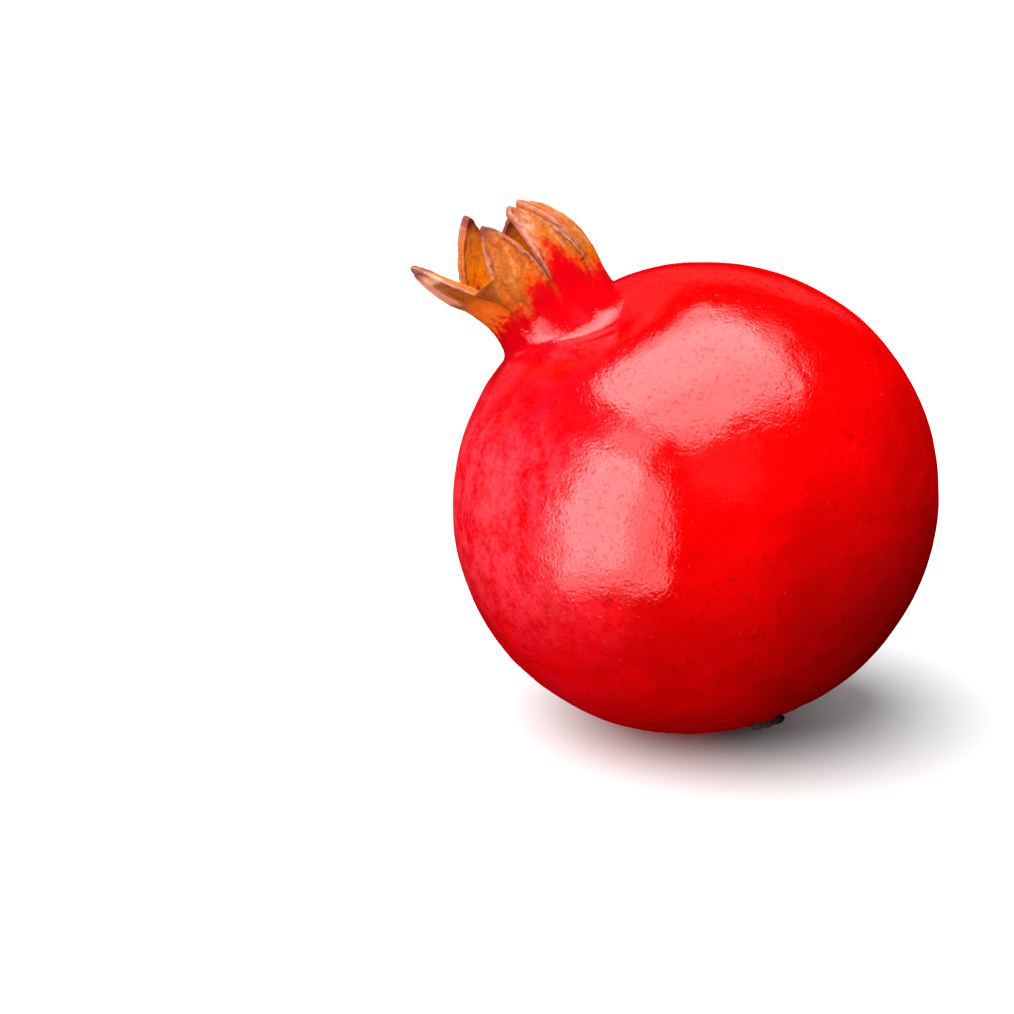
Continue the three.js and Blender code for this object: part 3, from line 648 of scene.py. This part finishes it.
# Waxy on the body and dull on the dry crown, in the roughness and in how much light the surface throws back, which
# is least at a glancing angle, where the leathery relief shades its own gloss. Then the relief, in millimetres:
# soft swells, a leathery grain and pits, and fibres and crumples on the dry crown.
sums = {"Roughness": 0.11, "Specular IOR Level": 0.5, "Height": 0.0}
part["matt"] = add(tree, "ShaderNodeMath", {0: part["dull"], 1: part["inside"]}, operation="MAXIMUM")
for quantity, amount, *where in (
        ("Roughness", 1.0, "waxing"), ("Roughness", 0.22, "hollow", "behind_bar"), ("Roughness", 0.4, "matt"),
        ("Specular IOR Level", -0.4, "matt"), ("Specular IOR Level", -0.2, "specks"),
        ("Specular IOR Level", -0.5, "glancing"),
        ("Height", 0.026, "swell"), ("Height", 0.015, "leather"), ("Height", -0.036, "pits"),
        ("Height", 0.13, "fibres", "matt"), ("Height", 0.12, "crumple", "dry")):
    for name in where:
        amount = add(tree, "ShaderNodeMath", {0: amount, 1: part[name]}, operation="MULTIPLY")
    sums[quantity] = add(tree, "ShaderNodeMath", {0: sums[quantity], 1: amount}, operation="ADD")
for quantity in ("Roughness", "Specular IOR Level"):
    tree.links.new(add(tree, "ShaderNodeClamp", {"Value": sums[quantity]}), shader.inputs[quantity])
bump = add(tree, "ShaderNodeBump", {"Height": sums["Height"], "Strength": 1.0, "Distance": 0.001})
tree.links.new(bump, shader.inputs["Normal"])
rind.data.materials.append(material)
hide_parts("fruit")
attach(rind, "root")

# ---- The stalk's stub --------------------------------------------------------------------------------------
# What is left of the woody stalk after picking: a short grey-brown peg with fine bark ridges and a torn end. It
# sits in the puckered socket at the bottom of the fruit.
STUB_RADIUS = 3.3
STUB_LENGTH = 2.8
STUB_SIDES = 72
stub_sideways = square_from([1, 0, 0], STEM_DIRECTION)
stub_front = np.cross(STEM_DIRECTION, stub_sideways)
stub_angle = np.arange(STUB_SIDES) * 2 * math.pi / STUB_SIDES
stub_profile = [(0.55, 0.3), (0.9, 0.3), (1.0, 0.36), (0.98, 0.9), (0.92, 1.5), (0.91, 1.9), (0.95, 2.3), (0.99, 2.6),
                (0.96, 2.9), (0.88, 3.05), (0.74, 3.08), (0.6, 3.0), (0.42, 2.95), (0.22, 2.98)]
bark = 0.06 * np.cos(17 * stub_angle) + 0.05 * np.cos(29 * stub_angle + 1) + 0.07 * np.cos(5 * stub_angle + 2)
stub_rings = []
for share, out in stub_profile:
    radius = STUB_RADIUS * share * (1 + bark * 0.55 * (share > 0.5))
    torn = 0.12 * np.cos(7 * stub_angle + 9 * share) * (out > 2.8)
    flat_ring = np.cos(stub_angle)[:, None] * stub_sideways + np.sin(stub_angle)[:, None] * stub_front
    stub_rings.append(socket_floor + (out + torn)[:, None] * STEM_DIRECTION + radius[:, None] * flat_ring)
stub = closed_mesh("stalk_stub", np.array(stub_rings), socket_floor + 0.3 * STEM_DIRECTION,
                   socket_floor + 2.96 * STEM_DIRECTION)

# Dry wood bark: dull, dark brown, with darker cracks along the stalk.
material = bpy.data.materials.new("stalk_wood_dry_bark")
material.use_nodes = True
tree = material.node_tree
shader = tree.nodes["Principled BSDF"]
stub_place = add(tree, "ShaderNodeTexCoord", out="Object")
cracks = add(tree, "ShaderNodeTexNoise", {"Vector": stub_place, "Scale": 1000 / 0.9, "Detail": 5.0, "Roughness": 0.65})
bark_colour = add(tree, "ShaderNodeValToRGB", {"Fac": cracks},
                  stops=[(0.35, "#1c100c"), (0.55, "#3a241a"), (0.75, "#6a4a36")])
tree.links.new(bark_colour, shader.inputs["Base Color"])
shader.inputs["Roughness"].default_value = 0.85
bump = add(tree, "ShaderNodeBump", {"Height": cracks, "Strength": 0.8, "Distance": 0.0003})
tree.links.new(bump, shader.inputs["Normal"])
stub.data.materials.append(material)
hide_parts("stem_stub")
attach(stub, "root")

# ---- The stamens -------------------------------------------------------------------------------------------
# The dried stamens of the flower still line the tube of the crown: hair-thin crinkled threads, each with a small
# anther at its end, rooted in the wall in a dense ring.
STAMEN_SIZES = {"Stamens": 190, "Ring radius": 0.0088, "Lowest root": 0.0026, "Highest root": 0.0058,
                "Thread length": 0.0058, "Bend height": 0.0035, "Tip shift": -0.0021, "Thread radius": 0.00011,
                "Anther radius": 0.00042, "Crinkle": 0.0011}

# Dry plant fibre: matt threads from tan to brown, with darker ochre anthers.
material = bpy.data.materials.new("stamens_dry_plant_fibre")
material.use_nodes = True
tree = material.node_tree
shader = tree.nodes["Principled BSDF"]
stamen_place = add(tree, "ShaderNodeTexCoord", out="Object")
tone = add(tree, "ShaderNodeTexNoise", {"Vector": stamen_place, "Scale": 1000 / 1.4, "Detail": 3.0})
thread_colour = add(tree, "ShaderNodeValToRGB", {"Fac": tone},
                    stops=[(0.3, "#7a4a20"), (0.5, "#b07a3a"), (0.7, "#d8a868")])
anther_colour = add(tree, "ShaderNodeValToRGB", {"Fac": tone}, stops=[(0.35, "#6a3a12"), (0.7, "#c88a34")])
is_anther = add(tree, "ShaderNodeAttribute", out="Fac", attribute_name="anther")
fibre_colour = add(tree, "ShaderNodeMix", {0: is_anther, 6: thread_colour, 7: anther_colour}, 2, data_type="RGBA")
tree.links.new(fibre_colour, shader.inputs["Base Color"])
shader.inputs["Roughness"].default_value = 0.8
stamen_material = material

# One stamen is a bent thread with a swollen end. The ring sets copies of it round the tube's wall, each turned,
# sized and rooted a little differently, and then crinkles them all.
tree = bpy.data.node_groups.new("stamen_ring", "GeometryNodeTree")
for name, value in STAMEN_SIZES.items():
    kind = "NodeSocketInt" if isinstance(value, int) else "NodeSocketFloat"
    tree.interface.new_socket(name, in_out="INPUT", socket_type=kind)
tree.interface.new_socket("Geometry", in_out="OUTPUT", socket_type="NodeSocketGeometry")
size = tree.nodes.new("NodeGroupInput").outputs
bend = add(tree, "ShaderNodeCombineXYZ", {2: size["Bend height"]})
thread_end = add(tree, "ShaderNodeCombineXYZ", {0: size["Tip shift"], 2: size["Thread length"]})
thread = add(tree, "GeometryNodeCurveQuadraticBezier",
             {"Resolution": 7, "Start": (0, 0, 0), "Middle": bend, "End": thread_end})
section = add(tree, "GeometryNodeCurvePrimitiveCircle", {"Resolution": 4, "Radius": size["Thread radius"]})
thread = add(tree, "GeometryNodeCurveToMesh", {"Curve": thread, "Profile Curve": section, "Fill Caps": True})
anther = add(tree, "GeometryNodeMeshIcoSphere", {"Radius": size["Anther radius"], "Subdivisions": 1})
anther = add(tree, "GeometryNodeTransform",
             {"Geometry": anther, "Translation": thread_end, "Scale": (0.75, 1.0, 1.5)})
anther = add(tree, "GeometryNodeStoreNamedAttribute", {"Geometry": anther, "Name": "anther", "Value": 1.0},
             data_type="FLOAT", domain="POINT")
stamen = add(tree, "GeometryNodeJoinGeometry", {0: [thread, anther]})
wall = add(tree, "GeometryNodeMeshCircle", {"Vertices": size["Stamens"], "Radius": size["Ring radius"]})
outward = add(tree, "FunctionNodeAlignRotationToVector", {"Vector": add(tree, "GeometryNodeInputPosition")}, axis="X")
grown = add(tree, "FunctionNodeRandomValue", {2: 0.7, 3: 1.12, "Seed": 11}, 1, data_type="FLOAT")
ring = add(tree, "GeometryNodeInstanceOnPoints",
           {"Points": wall, "Instance": stamen, "Rotation": outward, "Scale": grown})
leaning = add(tree, "FunctionNodeRandomValue", {0: (-0.22, -0.16, -0.5), 1: (0.22, 0.3, 0.5), "Seed": 5},
              data_type="FLOAT_VECTOR")
ring = add(tree, "GeometryNodeRotateInstances", {"Instances": ring, "Rotation": leaning, "Local Space": True})
root = add(tree, "FunctionNodeRandomValue", {2: size["Lowest root"], 3: size["Highest root"], "Seed": 23}, 1,
           data_type="FLOAT")
root = add(tree, "ShaderNodeCombineXYZ", {2: root})
ring = add(tree, "GeometryNodeTranslateInstances", {"Instances": ring, "Translation": root, "Local Space": False})
ring = add(tree, "GeometryNodeRealizeInstances", {"Geometry": ring})
crinkle = add(tree, "ShaderNodeTexNoise", {"Scale": 420.0, "Detail": 1.0}, "Color")
crinkle = add(tree, "ShaderNodeVectorMath", {0: crinkle, 1: (0.5, 0.5, 0.5)}, operation="SUBTRACT")
crinkle = add(tree, "ShaderNodeVectorMath", {0: crinkle, "Scale": size["Crinkle"]}, operation="SCALE")
ring = add(tree, "GeometryNodeSetPosition", {"Geometry": ring, "Offset": crinkle})
ring = add(tree, "GeometryNodeSetMaterial", {"Geometry": ring, "Material": stamen_material})
add(tree, "NodeGroupOutput", {0: ring})

holder = bpy.data.objects.new("stamen_holder", bpy.data.meshes.new("stamen_holder"))
bpy.context.scene.collection.objects.link(holder)
growth = holder.modifiers.new("stamen_ring", "NODES")
growth.node_group = tree
for item in tree.interface.items_tree:
    if item.in_out == "INPUT":
        growth[item.identifier] = STAMEN_SIZES[item.name]
bpy.context.view_layer.update()
grown_mesh = bpy.data.meshes.new_from_object(holder.evaluated_get(bpy.context.evaluated_depsgraph_get()))
bpy.data.objects.remove(holder)
stamen_points = np.zeros(len(grown_mesh.vertices) * 3)
grown_mesh.vertices.foreach_get("co", stamen_points)
stamen_points = stamen_points.reshape(-1, 3)
stamen_points = (CROWN_FOOT / 1000 + stamen_points[:, :1] * CROWN_FRONT + stamen_points[:, 1:2] * CROWN_RIGHT
                 + stamen_points[:, 2:] * CROWN_AXIS)
grown_mesh.vertices.foreach_set("co", stamen_points.ravel())
grown_mesh.update()
stamens = bpy.data.objects.new("stamens_dried", grown_mesh)
bpy.context.scene.collection.objects.link(stamens)
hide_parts("stamens")
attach(stamens, "root")

# ---- The table and the studio light ------------------------------------------------------------------------
# A white table that runs out of sight, evenly lit from the upper left, so the shadow falls to the right. It shows
# no reflection in the rind and throws little light back up, as paper does that is lit only round the fruit.
bpy.ops.mesh.primitive_plane_add(size=8, location=(0, 0, -0.0002))
table = bpy.context.object
table.name = "table"
table.visible_glossy = False
table.visible_shadow = False
material = bpy.data.materials.new("paper_white_matt")
material.use_nodes = True
tree = material.node_tree
shader = tree.nodes["Principled BSDF"]
bounced = add(tree, "ShaderNodeLightPath", out="Is Diffuse Ray")
paper = add(tree, "ShaderNodeMix", {0: bounced, 6: linear("#f4f4f4"), 7: linear("#505050")}, 2, data_type="RGBA")
tree.links.new(paper, shader.inputs["Base Color"])
shader.inputs["Roughness"].default_value = 0.9
shader.inputs["Specular IOR Level"].default_value = 0.0
table.data.materials.append(material)

world = bpy.data.worlds.new("studio")
world.use_nodes = True
tree = world.node_tree
seen = (0.1, 0.1, 0.1, 1.0)
for ray, brightness in (("Is Camera Ray", 1.0), ("Is Glossy Ray", 0.004)):
    is_ray = add(tree, "ShaderNodeLightPath", out=ray)
    seen = add(tree, "ShaderNodeMix", {0: is_ray, 6: seen, 7: (brightness,) * 3 + (1.0,)}, 2, data_type="RGBA")
tree.links.new(seen, tree.nodes["Background"].inputs["Color"])
bpy.context.scene.world = world

lit_by_softboxes = bpy.data.collections.new("lit_by_softboxes")
for piece in (rind, stub, stamens):
    lit_by_softboxes.objects.link(piece)
lit_from_upper_left = bpy.data.collections.new("lit_from_upper_left")
lit_from_upper_left.objects.link(table)

for name, spread, brightness, heading in (("table_light", 98, 5.2, (0.54, 0.13, -0.82)),
                                          ("table_fill", 150, 1.3, (0, 0, -1))):
    sun = bpy.data.lights.new(name, "SUN")
    sun.angle = spread * DEGREE
    sun.energy = brightness
    lamp = bpy.data.objects.new(name, sun)
    bpy.context.scene.collection.objects.link(lamp)
    lamp.rotation_euler = Vector(heading).to_track_quat("-Z", "Y").to_euler()
    lamp.light_linking.receiver_collection = lit_from_upper_left


def softbox(name, place, aimed_at, width, height, radiance, turned_by=0.0):
    """A softbox of an even radiance, where 1 shows as white, turned about the way it faces."""
    light = bpy.data.lights.new(name, "AREA")
    light.shape, light.size, light.size_y = "RECTANGLE", width, height
    light.energy = radiance * math.pi * width * height
    lamp = bpy.data.objects.new(name, light)
    bpy.context.scene.collection.objects.link(lamp)
    lamp.location = place
    facing = (Vector(aimed_at) - Vector(place)).to_track_quat("-Z", "Y").to_matrix().to_4x4()
    lamp.rotation_euler = (facing @ Matrix.Rotation(turned_by, 4, "Z")).to_euler()
    lamp.visible_camera = False
    lamp.light_linking.receiver_collection = lit_by_softboxes
    return lamp


# Overhead, with its middle brighter towards the back; front left, brighter on its left; a strip that joins the two;
# two weak reflectors, left and behind; and a soft key from the camera's right that is kept out of the rind's gloss.
softbox("overhead", (-0.06, -0.08, 0.6), (-0.06, -0.08, 0), 0.64, 0.68, 3.3, 44 * DEGREE)
softbox("overhead_inner", (-0.02, -0.1, 0.595), (-0.02, -0.1, 0), 0.76, 0.5, 1.7, 15 * DEGREE)
softbox("overhead_middle", (-0.1, 0.01, 0.59), (-0.1, 0.01, 0), 0.62, 0.33, 1.6, 20 * DEGREE)
softbox("front_left", (-0.417, -0.431, 0.075), (0, 0, 0.075), 0.58, 0.70, 3.1)
softbox("front_left_middle", (-0.455, -0.375, 0.11), (0, 0, 0.045), 0.3, 0.56, 3.3)
softbox("join", (-0.43, -0.4, 0.5), (0, 0, 0.06), 0.32, 0.26, 3.2)
softbox("left", (-0.84, 0.257, 0.02), (0, 0, 0.05), 0.36, 0.26, 0.36)
softbox("behind", (-0.1, 0.8, 0.3), (0, 0, 0.05), 1.0, 0.5, 0.18)
key = softbox("key", (0.2, -0.8, 0.62), (0, 0, 0.045), 0.5, 0.5, 5.2)
key.visible_glossy = False

# ---- The camera --------------------------------------------------------------------------------------------
# A long lens from a little above, level with the table's front, so that the whole fruit stands right of the middle.
CAMERA_DISTANCE = 0.534
CAMERA_RISE = 18 * DEGREE
FRAME_PIXELS = 1014
camera_data = bpy.data.cameras.new("camera")
camera_data.lens = 100
camera_data.sensor_width = 36
camera = bpy.data.objects.new("camera", camera_data)
bpy.context.scene.collection.objects.link(camera)
ahead = Vector((0, math.cos(CAMERA_RISE), -math.sin(CAMERA_RISE)))
upward = Vector((0, math.sin(CAMERA_RISE), math.cos(CAMERA_RISE)))
pixel = CAMERA_DISTANCE * camera_data.sensor_width / camera_data.lens / FRAME_PIXELS
aimed_right, aimed_up = (694.3 - FRAME_PIXELS / 2) * pixel, (FRAME_PIXELS / 2 - 497.05) * pixel
camera.location = (Vector(BODY_CENTRE / 1000) - CAMERA_DISTANCE * ahead - aimed_right * Vector((1, 0, 0))
                   - aimed_up * upward)
camera.rotation_euler = (math.pi / 2 - CAMERA_RISE, 0, 0)
bpy.context.scene.camera = camera
bpy.context.scene.view_settings.view_transform = "Standard"
